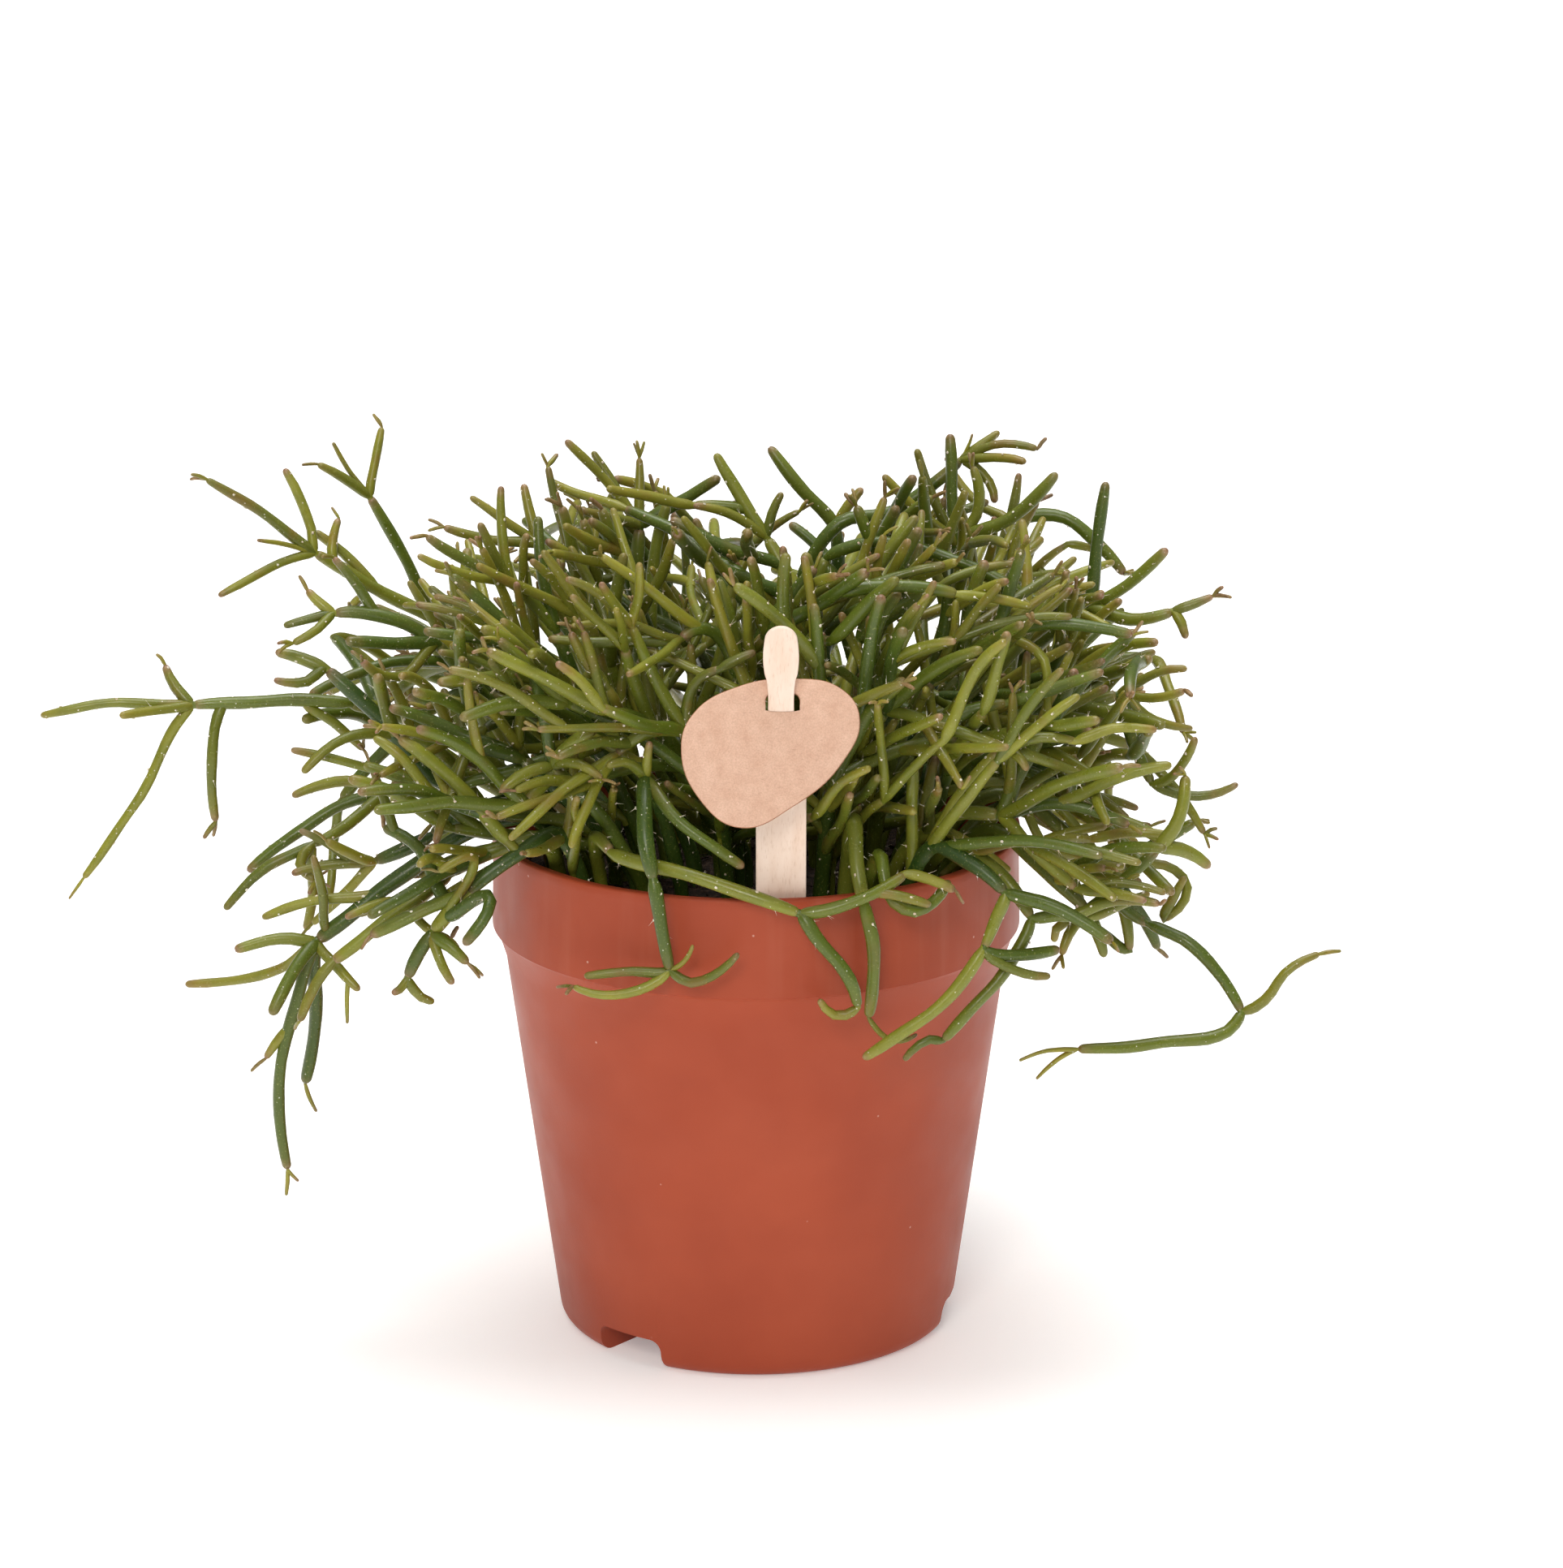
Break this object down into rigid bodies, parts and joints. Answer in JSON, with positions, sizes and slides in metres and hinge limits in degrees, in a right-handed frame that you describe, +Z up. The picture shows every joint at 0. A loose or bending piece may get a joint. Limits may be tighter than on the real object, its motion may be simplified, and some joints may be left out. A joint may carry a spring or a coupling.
{
  "type": "potted mistletoe cactus",
  "caption": "Mistletoe cactus: thin forking green stems that arch up and spill over a tapered nursery pot of peat, with a bare wooden plant label pushed in at the front.",
  "frame": {"origin": "centre of the pot's flat underside, on the plane that the pot stands on", "axes": "+Z up along the pot's axis; -Y is the front, where the label stands; +X is the front view's right, along the plant's widest spread"},
  "size_m": [0.2917, 0.1768, 0.2031],
  "materials": {
    "pot_plastic": "thin terracotta-coloured moulded plastic, satin",
    "peat": null,
    "stake_wood": "pale sanded wood, unfinished",
    "tag_board": "bare kraft board, matt",
    "stem_green": null
  },
  "bodies": {
    "root": {"pot": "pot_plastic", "soil": "peat", "label_stake": "stake_wood", "label_tag": "tag_board", "spray_front_drop": "stem_green", "spray_front_star": "stem_green", "spray_front_swag": "stem_green", "spray_front_right_drop": "stem_green", "spray_rim_loop": "stem_green", "spray_right_ring": "stem_green", "spray_right_front": "stem_green", "spray_front_left_hang": "stem_green", "spray_left_trailer": "stem_green", "spray_left_bright": "stem_green", "spray_left_low": "stem_green", "spray_left_silver": "stem_green", "spray_left_thick": "stem_green", "spray_left_reach": "stem_green", "spray_upper_left_a": "stem_green", "spray_upper_left_b": "stem_green", "spray_left_mid": "stem_green", "spray_right_trailer": "stem_green", "spray_right_thick": "stem_green", "spray_right_bright": "stem_green", "spray_right_knot": "stem_green", "spray_long_arch": "stem_green", "spray_high_arch": "stem_green", "spray_right_crown": "stem_green", "spray_right_top": "stem_green", "spray_right_far": "stem_green", "spray_right_mid": "stem_green", "spray_right_tips": "stem_green", "spray_dark_front": "stem_green", "spray_crown_mid": "stem_green", "spray_crown_back": "stem_green", "spray_crown_left": "stem_green", "spray_crown_left_b": "stem_green", "spray_crown_left_c": "stem_green", "spray_left_light": "stem_green", "spray_left_pale": "stem_green", "spray_front_leafy": "stem_green", "spray_centre_arch": "stem_green", "spray_back_01": "stem_green", "spray_back_02": "stem_green", "spray_back_03": "stem_green", "spray_back_04": "stem_green", "spray_back_05": "stem_green", "spray_back_06": "stem_green", "spray_back_07": "stem_green", "spray_back_08": "stem_green", "spray_back_09": "stem_green", "spray_back_10": "stem_green", "spray_inner_01": "stem_green", "spray_inner_02": "stem_green", "spray_inner_03": "stem_green", "spray_inner_04": "stem_green", "spray_inner_05": "stem_green", "spray_inner_06": "stem_green", "spray_inner_07": "stem_green", "spray_inner_08": "stem_green"}
  },
  "joints": []
}
